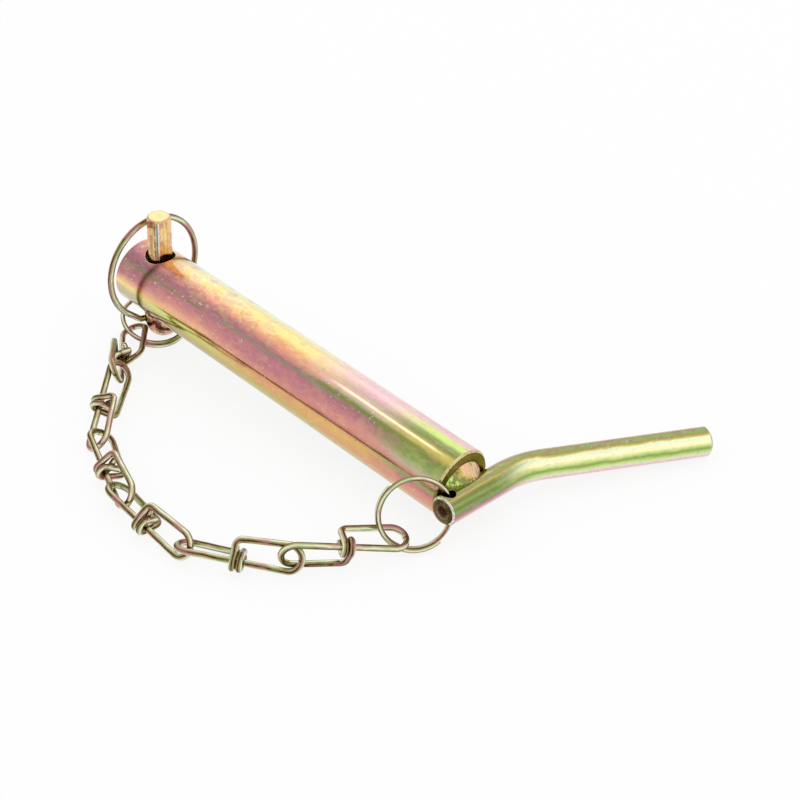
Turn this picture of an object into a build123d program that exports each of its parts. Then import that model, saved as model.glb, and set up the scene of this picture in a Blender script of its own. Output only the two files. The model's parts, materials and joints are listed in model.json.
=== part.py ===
from build123d import *
import os
from math import acos, asin, atan2, cos, degrees, hypot, pi, radians, sin, sqrt, tan

os.makedirs("parts", exist_ok=True)

# Hitch pin with a linch pin on a knotted chain. Millimetres, +Z up, standing surface at Z = 0.
# The set lies as it is put down: the near rim, the handle's free end and the linch pin's domed
# head carry the pin, whose tip end is raised, and the chain lies beside it.

# ---- hitch pin ----
PIN_DIA = 28.0
PIN_LENGTH = 182.0
PIN_CHAMFER = 0.8
PIN_TILT = 4.0  # degrees, tip end raised

# ---- linch pin and its hole ----
LINCH_DIA = 9.8
LINCH_HOLE_CLEARANCE = 2.6  # on the diameter
LINCH_HOLE_CHAMFER = 0.9
LINCH_FROM_TIP = 13.0  # hole centre to the tip face
LINCH_ABOVE_PIN = 18.3  # shaft end above the top of the hitch pin
LINCH_CHAMFER = 0.8
LINCH_FLAT = 3.7  # flat facing the handle, from the middle of the shaft
LINCH_FLAT_LENGTH = 34.0
LINCH_SIDE_FLAT = 3.8  # flat on the chain side, at the shaft's end
LINCH_SIDE_FLAT_TAPER = 3.0  # degrees, it runs out down the shaft
HEAD_DIA = 15.0
HEAD_STRAIGHT = 4.0
HEAD_GAP = 0.3  # head's shoulder to the underside of the hitch pin

# ---- snap ring of the linch pin ----
SNAP_WIRE = 2.6
SNAP_HOLE_CLEARANCE = 0.6  # on the diameter
SNAP_RADIUS = 22.0  # centre line
SNAP_CENTRE = 19.2  # ring centre above the underside of the hitch pin
SNAP_PIVOT = 4.9  # cross-hole below the underside of the hitch pin
SNAP_HOLE_BACK = 3.0  # cross-hole from the middle of the head, towards the tip
SNAP_SLOPE = 0.3  # the cross-hole falls towards the far side
SNAP_LEG_IN = 2.2  # each leg ends this far from the middle of the head
SNAP_NEAR_CORNER = 9.5
SNAP_FAR_CORNER = 13.0
SNAP_BEND = 3.5
SNAP_REST_GAP = 0.3  # ring to the linch pin's shaft, which it leans on

# ---- handle ----
HANDLE_DIA = 11.5
HANDLE_CHAMFER = 1.0
HANDLE_DROP = 1.0  # bar below the middle of the pin's end face
HANDLE_TURN = 5.5  # degrees, the long side falls
HANDLE_SHORT = 15.97  # end of the short side from the middle
HANDLE_STRAIGHT = 17.06
HANDLE_BEND_RADIUS = 36.3
HANDLE_BEND = 29.3  # degrees
HANDLE_BEND_LEAN = 6.9  # degrees, the bend's plane leans up
HANDLE_GRIP = 66.7
HANDLE_HOLE_DIA = 5.3
HANDLE_HOLE_IN = 3.8  # from the short end
HANDLE_HOLE_TURN = -14.0  # degrees round the bar, from its top
WELD_ROOT = 0.05  # bar to the end face
WELD_ROOT_FROM = 1.8  # the fillets start this far from the line where the bar touches
WELD_RADIUS = 10.4  # of the mound of weld on the end face
WELD_TIP = 0.9  # the mound's radius at the middle of the bar, in bar radii

# ---- split rings ----
RING_WIRE = 1.9
RING_OUTSIDE = 28.7
RING_COIL_GAP = 0.05
RING_TURN = 540.0  # degrees of wire in all
RING_CROSSING = 50.0  # degrees over which the wire changes level

# ---- chain ----
LINK_WIRE = 2.5
LINK_WIDTH = 10.4  # between the centre lines of a loop's legs, at its bow
LINK_KNOT_WIDTH = 8.4  # and at the knot
LINK_REACH = 22.6  # knot centre to the centre line of each bow
LINK_WRAP_GAP = 0.05  # hook to the core that it grips
LINK_PITCH_GAP = 0.1  # between the two hooks
LINK_CORNER = 2.6
LINK_TAIL = 5.0

# Place of each link: middle of its core, heading of its handle-side loop, rise and roll, degrees.
LINK_PLACES = [
    (-8.47, -49.28, 9.66, 56.3, -12.7, 9.1),
    (-34.60, -77.89, 4.80, 35.0, -6.5, 67.6),
    (-73.69, -88.55, 5.18, 0.3, -12.3, 64.4),
    (-107.32, -79.60, 6.30, -21.9, -8.4, 57.6),
    (-139.80, -56.31, 7.65, -53.0, -18.1, 38.3),
    (-161.96, -28.29, 5.19, -38.8, 5.3, 107.0),
]
# The handle's split ring hangs from the handle's hole: how far it is swung round the hole, how
# much its coils slant in it, and how far its crossing lies from the hole, degrees.
HANDLE_RING_SWING = 145.6
HANDLE_RING_SLANT = -10.1
HANDLE_RING_SAG = 0.0
HANDLE_RING_CROSSING = 35.0
# The linch pin's split ring: its middle, its axis and where its wire changes level.
LINCH_RING_MIDDLE = (-172.59, -2.30, 6.67)
LINCH_RING_AXIS = (0.3467, -0.0800, 0.9346)
LINCH_RING_START = (0.714, 0.700, 0.0)
LINCH_RING_CROSSING = 160.0

TINY = 1e-4


def bent_path(points, radii):
    """Straight runs joined by tangent arcs; radii holds one bend radius for each inner point."""
    edges = []
    start = points[0]
    for i, radius in enumerate(radii):
        corner = points[i + 1]
        before = (corner - points[i]).normalized()
        after = (points[i + 2] - corner).normalized()
        half = radians(before.get_angle(after) / 2)
        setback = radius * tan(half)
        bend_start = corner - before * setback
        bend_end = corner + after * setback
        inward = (after - before).normalized()
        middle = corner + inward * (radius / cos(half) - radius)
        if (bend_start - start).length > TINY:
            edges.append(Line(start, bend_start))
        edges.append(ThreePointArc(bend_start, middle, bend_end))
        start = bend_end
    edges.append(Line(start, points[-1]))
    return Wire(edges)


def bent_wire(path, wire_dia):
    """Round wire of the given diameter swept along a path."""
    section = Plane(path @ 0, z_dir=path % 0) * Circle(wire_dia / 2)
    return sweep(section, path)


# ---- frames ----
pin_radius = PIN_DIA / 2
pin_frame = Plane(
    origin=(0, 0, pin_radius * cos(radians(PIN_TILT))),
    x_dir=(cos(radians(PIN_TILT)), 0, -sin(radians(PIN_TILT))),
    z_dir=(sin(radians(PIN_TILT)), 0, cos(radians(PIN_TILT))),
)
linch_x = LINCH_FROM_TIP - PIN_LENGTH
underside = -pin_radius


# ---- hitch pin ----
def make_pin_body():
    body = Rot(0, 90, 0) * Cylinder(pin_radius, PIN_LENGTH, align=(Align.CENTER, Align.CENTER, Align.MAX))
    body = chamfer(body.edges().filter_by(GeomType.CIRCLE), PIN_CHAMFER)
    hole_radius = (LINCH_DIA + LINCH_HOLE_CLEARANCE) / 2
    body -= Pos(linch_x, 0, 0) * Cylinder(hole_radius, 2 * PIN_DIA)
    mouths = body.edges().filter_by(GeomType.CIRCLE, reverse=True).filter_by(
        lambda e: abs(e.center().X - linch_x) < hole_radius and abs(e.center().Z) > pin_radius / 2
    )
    body = chamfer(mouths, LINCH_HOLE_CHAMFER)
    return body


# ---- handle, bent from round bar ----
handle_radius = HANDLE_DIA / 2
bar_x = handle_radius + WELD_ROOT
bar_dir = Vector(0, cos(radians(HANDLE_TURN)), -sin(radians(HANDLE_TURN)))
bar_up = Vector(0, sin(radians(HANDLE_TURN)), cos(radians(HANDLE_TURN)))
bar_mid = Vector(bar_x, 0, -HANDLE_DROP)
bend_out = Vector(1, 0, 0) * cos(radians(HANDLE_BEND_LEAN)) + bar_up * sin(radians(HANDLE_BEND_LEAN))
grip_dir = bar_dir * cos(radians(HANDLE_BEND)) + bend_out * sin(radians(HANDLE_BEND))
bend_setback = HANDLE_BEND_RADIUS * tan(radians(HANDLE_BEND / 2))
bar_start = bar_mid - bar_dir * HANDLE_SHORT
bar_corner = bar_mid + bar_dir * (HANDLE_STRAIGHT + bend_setback)
bar_end = bar_corner + grip_dir * (bend_setback + HANDLE_GRIP)
handle_hole = bar_start + bar_dir * HANDLE_HOLE_IN
hole_turn = radians(HANDLE_HOLE_TURN)
hole_axis = bar_up * cos(hole_turn) + bar_dir.cross(bar_up) * sin(hole_turn)


def make_handle():
    bar = bent_wire(bent_path([bar_start, bar_corner, bar_end], [HANDLE_BEND_RADIUS]), HANDLE_DIA)
    ends = bar.edges().filter_by(GeomType.CIRCLE).filter_by(
        lambda e: min((e.arc_center - bar_start).length, (e.arc_center - bar_end).length) < TINY
    )
    bar = chamfer(ends, HANDLE_CHAMFER)
    bar -= Plane(handle_hole, z_dir=hole_axis) * Cylinder(HANDLE_HOLE_DIA / 2, 2 * HANDLE_DIA)
    return bar


def make_weld(side):
    """Mound of weld between the bar and the end face, on the upper (1) or lower (-1) side."""
    tip_radius = handle_radius * WELD_TIP
    cone = Cone(WELD_RADIUS, tip_radius, bar_x, align=(Align.CENTER, Align.CENTER, Align.MIN))
    bead = Pos(0, 0, -HANDLE_DROP) * Rot(0, 90, 0) * cone
    root = bar_mid + bar_up * side * WELD_ROOT_FROM
    bead = split(bead, Plane(root, z_dir=bar_up * side), keep=Keep.TOP)
    bead -= Plane(bar_mid, z_dir=bar_dir) * Cylinder(handle_radius, 4 * PIN_DIA)
    return bead


# ---- linch pin ----
def make_linch_pin():
    shoulder = underside - HEAD_GAP
    dome = shoulder - HEAD_STRAIGHT
    head_radius = HEAD_DIA / 2
    top = pin_radius + LINCH_ABOVE_PIN
    shaft_radius = LINCH_DIA / 2
    outline = Polyline(
        (0, top),
        (shaft_radius - LINCH_CHAMFER, top),
        (shaft_radius, top - LINCH_CHAMFER),
        (shaft_radius, shoulder),
        (head_radius - 0.6, shoulder),
        (head_radius, shoulder - 0.6),
        (head_radius, dome),
    )
    round_end = CenterArc((0, dome), head_radius, 0, -90)
    axis_line = Line((0, dome - head_radius), (0, top))
    profile = Plane.XZ * make_face(Wire([*outline.edges(), round_end, axis_line]))
    pin = revolve(profile, Axis.Z)
    pin -= Pos(LINCH_FLAT, 0, top - LINCH_FLAT_LENGTH) * Box(
        HEAD_DIA, HEAD_DIA, 2 * LINCH_FLAT_LENGTH, align=(Align.MIN, Align.CENTER, Align.MIN)
    )
    pin -= Pos(0, -LINCH_SIDE_FLAT, top) * Rot(-LINCH_SIDE_FLAT_TAPER, 0, 0) * Box(
        HEAD_DIA, HEAD_DIA, LINCH_FLAT_LENGTH, align=(Align.CENTER, Align.MAX, Align.CENTER)
    )
    pin = Pos(linch_x, 0, 0) * pin
    cross_hole_radius = (SNAP_WIRE + SNAP_HOLE_CLEARANCE) / 2
    pin -= Plane(snap_point(0, 0), z_dir=snap_axis) * Cylinder(cross_hole_radius, 2 * HEAD_DIA)
    return pin


# ---- snap ring ----
pivot = Vector(linch_x - SNAP_HOLE_BACK, 0, underside - SNAP_PIVOT)
snap_rise = SNAP_PIVOT + SNAP_CENTRE
snap_stand_off = (LINCH_DIA + SNAP_WIRE) / 2 + SNAP_REST_GAP - SNAP_HOLE_BACK
snap_lean = asin(snap_stand_off / (snap_rise + SNAP_RADIUS))
snap_across = Vector(0, 1, 0)
snap_up = Vector(-sin(snap_lean), 0, cos(snap_lean))
snap_axis = (snap_across - snap_up * SNAP_SLOPE).normalized()


def snap_point(across, up):
    """A point in the snap ring's plane, from its pivot."""
    return pivot + snap_across * across + snap_up * up


def snap_tangent(corner_across, side):
    """Corner on the cross-hole's line, and the point where its tangent touches the ring."""
    corner = (side * corner_across, -side * corner_across * SNAP_SLOPE)
    dx = -corner[0]
    dy = snap_rise - corner[1]
    distance = hypot(dx, dy)
    run = sqrt(distance**2 - SNAP_RADIUS**2)
    turn = -side * asin(SNAP_RADIUS / distance)
    ux = (dx * cos(turn) - dy * sin(turn)) / distance
    uy = (dx * sin(turn) + dy * cos(turn)) / distance
    return corner, (corner[0] + ux * run, corner[1] + uy * run)


def make_snap_ring():
    near_corner, near_touch = snap_tangent(SNAP_NEAR_CORNER, -1)
    far_corner, far_touch = snap_tangent(SNAP_FAR_CORNER, 1)
    near_in = (-SNAP_LEG_IN, SNAP_LEG_IN * SNAP_SLOPE)
    far_in = (SNAP_LEG_IN, -SNAP_LEG_IN * SNAP_SLOPE)
    near_corners = [snap_point(*near_in), snap_point(*near_corner), snap_point(*near_touch)]
    near_leg = bent_path(near_corners, [SNAP_BEND])
    far_leg = bent_path([snap_point(*far_touch), snap_point(*far_corner), snap_point(*far_in)], [SNAP_BEND])
    round_top = snap_point(0, snap_rise + SNAP_RADIUS)
    round_part = ThreePointArc(snap_point(*near_touch), round_top, snap_point(*far_touch))
    return bent_wire(Wire([*near_leg.edges(), round_part, *far_leg.edges()]), SNAP_WIRE)


# ---- split rings ----
coil_radius = (RING_OUTSIDE - RING_WIRE) / 2
coil_level = (RING_WIRE + RING_COIL_GAP) / 2


def make_split_ring(frame, crossing_at):
    """Wire wound past a full turn; it changes level halfway along its single stretch."""
    half_turn = (RING_TURN - RING_CROSSING) / 2
    upper_from = crossing_at + RING_CROSSING / 2
    lower_from = crossing_at - RING_CROSSING / 2 - half_turn
    lower = CenterArc((0, 0, -coil_level), coil_radius, lower_from, half_turn)
    upper = CenterArc((0, 0, coil_level), coil_radius, upper_from, half_turn)
    cross_start = lower @ 1
    cross_end = upper @ 0
    corner_run = coil_radius * tan(radians(RING_CROSSING / 4))
    first = cross_start + (lower % 1) * corner_run
    last = cross_end - (upper % 0) * corner_run
    bend = corner_run / tan(radians((lower % 1).get_angle(last - first) / 2)) * 0.98
    crossing = bent_path([cross_start, first, last, cross_end], [bend, bend])
    path = Wire([lower, *crossing.edges(), upper])
    return frame * bent_wire(path, RING_WIRE)


def handle_ring_frame():
    """The ring's lower coil lies in the handle's hole; +X points from its middle to the hole."""
    hole = pin_frame.from_local_coords(handle_hole)
    up = (pin_frame.from_local_coords(handle_hole + hole_axis) - hole).normalized()
    across = up.cross(Vector(1, 0, 0)).normalized()
    along = up.cross(across)
    swing = radians(HANDLE_RING_SWING)
    slant = radians(HANDLE_RING_SLANT)
    sag = radians(HANDLE_RING_SAG)
    outward = across * cos(swing) + along * sin(swing)
    normal = up.cross(outward)
    coil_up = up * cos(slant) + normal * sin(slant)
    coil_axis = normal * cos(slant) - up * sin(slant)
    out = outward * cos(sag) + coil_up * sin(sag)
    bow_in_hole = coil_radius - sqrt(coil_radius**2 - handle_radius**2)
    middle = hole + out * (coil_radius - bow_in_hole / 2) + coil_axis * coil_level
    return Plane(middle, x_dir=out * -1, z_dir=coil_axis)


# ---- chain link ----
def make_link():
    """One wire: a straight core, a bow at each end, and each leg hooked round the core."""
    wrap = LINK_WIRE + LINK_WRAP_GAP
    side = (LINK_WIRE + LINK_PITCH_GAP) / 2
    touch = acos(wrap / LINK_KNOT_WIDTH)
    hook_top = (wrap + wrap * cos(touch)) / sin(touch)
    first_loop = [
        (-side, LINK_TAIL, -wrap),
        (-side, -wrap, -wrap),
        (-side, -wrap, hook_top),
        (-side, LINK_KNOT_WIDTH, 0),
        (LINK_REACH, LINK_WIDTH, 0),
        (LINK_REACH, 0, 0),
    ]
    second_loop = [(-x, -z, -y) for x, y, z in reversed(first_loop)]
    taper = atan2(LINK_WIDTH - LINK_KNOT_WIDTH, LINK_REACH + side)
    bow = LINK_WIDTH / (1 + tan((pi / 2 + taper) / 2)) * 0.999
    bends = [wrap, wrap, LINK_CORNER, bow, bow]
    points = [Vector(*p) for p in first_loop + second_loop]
    return bent_wire(bent_path(points, bends + list(reversed(bends))), LINK_WIRE)


def link_location(place):
    x, y, z, heading, rise, roll = place
    return Pos(x, y, z) * Rot(0, 0, heading) * Rot(0, -rise, 0) * Rot(roll, 0, 0)


# ---- all pieces ----
linch_ring_axis = Vector(*LINCH_RING_AXIS).normalized()
linch_ring_start = Vector(*LINCH_RING_START)
linch_ring_start -= linch_ring_axis * linch_ring_start.dot(linch_ring_axis)
linch_ring_frame = Plane(LINCH_RING_MIDDLE, x_dir=linch_ring_start, z_dir=linch_ring_axis)
pieces = {
    "pin_body": pin_frame * make_pin_body(),
    "handle": pin_frame * make_handle(),
    "weld_upper": pin_frame * make_weld(1),
    "weld_lower": pin_frame * make_weld(-1),
    "linch_pin": pin_frame * make_linch_pin(),
    "linch_ring": pin_frame * make_snap_ring(),
    "handle_split_ring": make_split_ring(handle_ring_frame(), HANDLE_RING_CROSSING),
    "linch_split_ring": make_split_ring(linch_ring_frame, LINCH_RING_CROSSING),
}
link = make_link()
for number, place in enumerate(LINK_PLACES, start=1):
    pieces[f"chain_link_{number}"] = link_location(place) * link

# The origin is the middle of the whole set's plan, on the surface that it stands on.
boxes = [piece.bounding_box() for piece in pieces.values()]
middle_x = (min(box.min.X for box in boxes) + max(box.max.X for box in boxes)) / 2
middle_y = (min(box.min.Y for box in boxes) + max(box.max.Y for box in boxes)) / 2
shift = Pos(-middle_x, -middle_y, -min(box.min.Z for box in boxes))

for name, piece in pieces.items():
    export_step(shift * piece, f"parts/{name}.step")
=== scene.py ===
"""Looks of a hitch pin: a plated round pin with a welded bent handle, and a linch pin with its
snap ring, held to the handle by two split rings and a chain of knotted wire links."""

import json
import logging
from dataclasses import dataclass
from enum import Enum
from math import acos, asin, atan2, cos, hypot, pi, radians, sin, sqrt, tan
from typing import Optional, Sequence, Union

import bpy
from mathutils import Euler, Matrix, Vector


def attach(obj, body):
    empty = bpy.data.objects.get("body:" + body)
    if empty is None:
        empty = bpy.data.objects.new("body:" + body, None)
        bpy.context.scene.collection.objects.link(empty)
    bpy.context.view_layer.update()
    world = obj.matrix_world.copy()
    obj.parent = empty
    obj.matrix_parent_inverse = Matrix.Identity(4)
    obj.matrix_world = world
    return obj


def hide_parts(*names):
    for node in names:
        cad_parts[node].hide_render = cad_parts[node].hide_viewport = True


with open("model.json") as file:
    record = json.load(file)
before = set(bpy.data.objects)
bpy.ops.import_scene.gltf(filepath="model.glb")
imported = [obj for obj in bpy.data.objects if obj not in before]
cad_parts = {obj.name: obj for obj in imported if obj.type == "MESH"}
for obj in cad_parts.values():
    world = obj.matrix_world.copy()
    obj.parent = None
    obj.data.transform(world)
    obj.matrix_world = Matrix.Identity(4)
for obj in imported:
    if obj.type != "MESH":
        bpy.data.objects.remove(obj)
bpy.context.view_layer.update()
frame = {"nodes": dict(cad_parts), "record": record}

log = logging.getLogger("hitch_pin")

MM = 0.001
PIN_RADIUS = 14.0
LINCH_AT = -169.0  # middle of the linch hole, from the pin's end face
SHANK_MIDDLE = 85.0  # from the pin's end face to the record's shank mount

Number = Union[int, float]
Point = tuple[float, float, float]
Span = tuple[float, float]


# ---------------------------------------------------------------- films
def paint(red: int, green: int, blue: int) -> tuple[float, float, float, float]:
    """Works out the linear colour of an sRGB colour.

    Args:
        red: Its red, from 0 to 255.
        green: Its green, from 0 to 255.
        blue: Its blue, from 0 to 255.

    Returns:
        Linear red, green and blue, with an alpha of 1.
    """
    shares = [channel / 255 for channel in (red, green, blue)]
    linear = [s / 12.92 if s <= 0.04045 else ((s + 0.055) / 1.055) ** 2.4 for s in shares]
    return (*linear, 1.0)


class Film(Enum):
    """Colours of the passivated zinc film, by its thickness and age, with bare and shaded metal; they also
    serve as painted highlights, painted reflections and painted shade.
    """

    MINT = paint(226, 240, 212)
    CREAM = paint(250, 245, 190)
    STRAW = paint(250, 230, 150)
    HONEY = paint(226, 188, 104)
    AMBER = paint(226, 166, 116)
    PEACH = paint(242, 184, 150)
    CORAL = paint(216, 148, 134)
    ROSE = paint(190, 126, 132)
    MAUVE = paint(166, 114, 122)
    PLUM = paint(146, 106, 114)
    SLATE = paint(140, 140, 116)
    BROWN = paint(104, 66, 40)
    SHADE = paint(52, 34, 22)
    GOLD = paint(198, 182, 96)
    OLIVE = paint(156, 146, 90)
    MOSS = paint(122, 138, 70)
    GREEN = paint(140, 166, 96)
    LEAF = paint(208, 232, 132)
    BLUSH = paint(249, 208, 214)
    PINK = paint(236, 180, 190)
    CERISE = paint(226, 140, 158)
    SAND = paint(214, 194, 150)
    STONE = paint(186, 180, 152)
    SILVER = paint(222, 222, 214)


Bands = tuple[tuple[float, Film], ...]


# ---------------------------------------------------------------- node trees
class Easing(Enum):
    """How a glide leaves its first value and reaches its last."""

    SMOOTH = "SMOOTHSTEP"
    SMOOTHER = "SMOOTHERSTEP"


class Wire:
    """One output socket of a node tree, with Python's operators as its Math nodes."""

    def __init__(self, tree: "Tree", socket: bpy.types.NodeSocket) -> None:
        """Keeps the tree that the socket belongs to."""
        self.tree = tree
        self.socket = socket

    def _math(self, operation: str, *values: "Term") -> "Wire":
        """Adds a Math node.

        Args:
            operation: The Math node's operation.
            values: Its inputs, numbers or wires.

        Returns:
            The node's result.
        """
        return self.tree.node("ShaderNodeMath", {"operation": operation}, dict(enumerate(values)))[0]

    def __add__(self, other: "Term") -> "Wire":
        """self + other."""
        return self._math("ADD", self, other)

    __radd__ = __add__

    def __mul__(self, other: "Term") -> "Wire":
        """self * other."""
        return self._math("MULTIPLY", self, other)

    __rmul__ = __mul__

    def __sub__(self, other: "Term") -> "Wire":
        """self - other."""
        return self._math("SUBTRACT", self, other)

    def __rsub__(self, other: "Term") -> "Wire":
        """other - self."""
        return self._math("SUBTRACT", other, self)

    def __truediv__(self, other: "Term") -> "Wire":
        """self / other."""
        return self._math("DIVIDE", self, other)

    def __pow__(self, other: "Term") -> "Wire":
        """self ** other."""
        return self._math("POWER", self, other)

    def __gt__(self, other: "Term") -> "Wire":
        """1 where self is above other, else 0."""
        return self._math("GREATER_THAN", self, other)

    def __abs__(self) -> "Wire":
        """Size of self."""
        return self._math("ABSOLUTE", self)

    def least(self, other: "Term") -> "Wire":
        """The smaller of self and other."""
        return self._math("MINIMUM", self, other)

    def sine(self) -> "Wire":
        """Sine of self, in radians."""
        return self._math("SINE", self)

    def cosine(self) -> "Wire":
        """Cosine of self, in radians."""
        return self._math("COSINE", self)

    def wave(self) -> "Wire":
        """Sine of self, brought to between 0 and 1."""
        return self.sine() * 0.5 + 0.5

    def angle_to(self, across: "Wire") -> "Wire":
        """Angle of the point (across, self), in radians."""
        return self._math("ARCTAN2", self, across)

    def glide(
        self, low: "Term", high: "Term", first: float = 0.0, last: float = 1.0, easing: Easing = Easing.SMOOTH
    ) -> "Wire":
        """Goes smoothly from one value to another, and stays there.

        Args:
            low: Where self leaves the first value.
            high: Where it reaches the last value.
            first: The first value.
            last: The last value.
            easing: How it starts and stops.

        Returns:
            The value between them.
        """
        values = {"Value": self, "From Min": low, "From Max": high, "To Min": first, "To Max": last}
        return self.tree.node("ShaderNodeMapRange", {"interpolation_type": easing.value}, values)[0]

    def rise(self, low: float, high: float) -> "Wire":
        """0 below low and 1 above high, and smooth between them."""
        return self.glide(low, high)

    def fall(self, low: float, high: float) -> "Wire":
        """1 below low and 0 above high, and smooth between them."""
        return 1.0 - self.glide(low, high)


Term = Union[Number, Wire]
Colour = Union[Film, Wire]


class Tree:
    """A node tree, filled by one method."""

    def __init__(self, tree: bpy.types.NodeTree) -> None:
        """Keeps Blender's own tree."""
        self.tree = tree

    def node(self, kind: str, settings: Optional[dict] = None, values: Optional[dict] = None) -> list[Wire]:
        """Adds a node.

        Args:
            kind: The node's type.
            settings: Its own settings, set before its sockets; "bands" are a ramp's colours.
            values: Plain value, film or wire for each input, by name or by place.

        Returns:
            The node's outputs.
        """
        made = self.tree.nodes.new(kind)
        for key, value in (settings or {}).items():
            if key == "bands":
                self._set_bands(made.color_ramp, value)
            else:
                setattr(made, key, value)
        for key, value in (values or {}).items():
            if isinstance(value, Wire):
                self.tree.links.new(value.socket, made.inputs[key])
            else:
                made.inputs[key].default_value = value.value if isinstance(value, Film) else value
        return [Wire(self, socket) for socket in made.outputs if socket.enabled]

    @staticmethod
    def _set_bands(ramp: bpy.types.ColorRamp, bands: Bands) -> None:
        """Gives a new ramp its colours, film colours and painted light.

        Args:
            ramp: The ramp, with the two colours that it starts with.
            bands: Place and colour of each stop.
        """
        ramp.elements.remove(ramp.elements[-1])
        place, film_and_painted_light = bands[0]
        ramp.elements[0].position, ramp.elements[0].color = place, film_and_painted_light.value
        for place, film_and_painted_light in bands[1:]:
            ramp.elements.new(place).color = film_and_painted_light.value


# ---------------------------------------------------------------- shaders
@dataclass(frozen=True)
class Grain:
    """A noise: its features per metre along X and across it, its detail and its roughness."""

    along: float
    across: float
    detail: float
    rough: float = 0.55


class Board(Tree):
    """The node tree of a material or a world."""

    MIX_FACTOR, MIX_UNDER, MIX_OVER = 0, 6, 7  # inputs of a Mix node set to colours
    OBJECT_POINT = 3  # output of Texture Coordinate
    ATTRIBUTE_VALUE = 2  # output of Attribute

    def __init__(self, owner: Union[bpy.types.Material, bpy.types.World]) -> None:
        """Empties the tree of a new material or world.

        Args:
            owner: The material or the world.
        """
        owner.use_nodes = True
        super().__init__(owner.node_tree)
        self.owner = owner
        self.tree.nodes.clear()

    def ramp(self, place: Wire, bands: Bands) -> Wire:
        """Colour at a place from 0 to 1, from bands of film colour and painted light."""
        return self.node("ShaderNodeValToRGB", {"bands": bands}, {"Fac": place})[0]

    def mix(self, share: Term, under: Colour, over: Colour) -> Wire:
        """Lays a colour over another.

        Args:
            share: How much of the upper colour shows, from 0 to 1.
            under: The colour underneath.
            over: The colour on top.

        Returns:
            The mixed colour.
        """
        settings = {"data_type": "RGBA", "blend_type": "MIX", "clamp_factor": True}
        values = {self.MIX_FACTOR: share, self.MIX_UNDER: under, self.MIX_OVER: over}
        return self.node("ShaderNodeMix", settings, values)[0]

    def noise(self, point: Wire, grain: Grain) -> Wire:
        """Makes noise.

        Args:
            point: The point to read it at.
            grain: Its kind.

        Returns:
            The noise, from 0 to 1.
        """
        scale = (grain.along, grain.across, grain.across)
        stretched = self.node("ShaderNodeVectorMath", {"operation": "MULTIPLY"}, {0: point, 1: scale})[0]
        values = {"Vector": stretched, "Scale": 1.0, "Detail": grain.detail, "Roughness": grain.rough}
        return self.node("ShaderNodeTexNoise", {"noise_dimensions": "3D"}, values)[0]

    def object_point(self) -> Wire:
        """Object coordinates."""
        return self.node("ShaderNodeTexCoord")[self.OBJECT_POINT]

    def from_frame(self, point: Wire, origin: Union[Vector, Point], turn: Euler) -> Wire:
        """Reads a point in another frame.

        Args:
            point: The point.
            origin: The frame's origin.
            turn: The turn of its axes.

        Returns:
            The point's coordinates along those axes.
        """
        values = {"Vector": point, "Location": origin, "Rotation": turn}
        return self.node("ShaderNodeMapping", {"vector_type": "TEXTURE"}, values)[0]

    def parts(self, vector: Wire) -> list[Wire]:
        """X, Y and Z of a vector."""
        return self.node("ShaderNodeSeparateXYZ", values={0: vector})

    def attribute(self, name: str) -> Wire:
        """Value of a mesh attribute."""
        return self.node("ShaderNodeAttribute", {"attribute_name": name})[self.ATTRIBUTE_VALUE]

    def bump(self, height: Wire, distance: float, strength: float) -> Wire:
        """Makes a relief.

        Args:
            height: The relief, about 0 to 1.
            distance: Metres that a height of 1 stands out.
            strength: How much of it is used.

        Returns:
            The bent normal.
        """
        values = {"Strength": strength, "Distance": distance, "Height": height}
        return self.node("ShaderNodeBump", values=values)[0]

    def metal(self, colour: Wire, roughness: Wire, normal: Wire) -> bpy.types.Material:
        """Ends the material in a metal.

        Args:
            colour: Its colour.
            roughness: Its roughness.
            normal: Its relief.

        Returns:
            The material.
        """
        values = {
            "Base Color": colour,
            "Roughness": roughness,
            "Metallic": 1.0,
            "Coat Weight": 0.0,
            "Normal": normal,
        }
        shader = self.node("ShaderNodeBsdfPrincipled", values=values)[0]
        self.node("ShaderNodeOutputMaterial", values={"Surface": shader})
        return self.owner


# ---------------------------------------------------------------- places on a bar
@dataclass(frozen=True)
class Station:
    """Colours round a bar at one place along it, in metres: film colours with painted reflections and painted
    highlights among them.
    """

    along: float
    bands: Bands


@dataclass(frozen=True)
class Streak:
    """A fine line of another colour along a bar; on the pin the two brown lines are one painted reflection of
    the horizon and the cream line is a painted highlight.

    Its place and its width are in turns, its slope in turns a metre and its ends in metres.
    """

    film_and_painted_light: Film
    around: float
    slope: float
    width: float
    start: float
    end: float
    strength: float


@dataclass(frozen=True)
class EndCut:
    """A turned end of a bar: its place along the bar, which way it faces, and its films."""

    along: float
    facing: float
    chamfer: float
    rim: Film
    films: Bands


@dataclass(frozen=True)
class Run:
    """A straight run of a bar: its origin, its axes with X along the bar, and where it counts from."""

    origin: Vector
    turn: Matrix
    along: float = 0.0


@dataclass(frozen=True)
class Bore:
    """A hole through a bar, in the first run's axes: its middle, axis and radius, and the colour of its wall,
    painted shade in the handle's ring hole.
    """

    middle: Point
    axis: Point
    radius: float
    film_and_painted_light: Film = Film.STRAW


@dataclass(frozen=True)
class BarSpot:
    """A point of a bar in the first run's axes, and its metres along, turns round and share of the radius."""

    point: Wire
    along: Wire
    around: Wire
    depth: Wire


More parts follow.
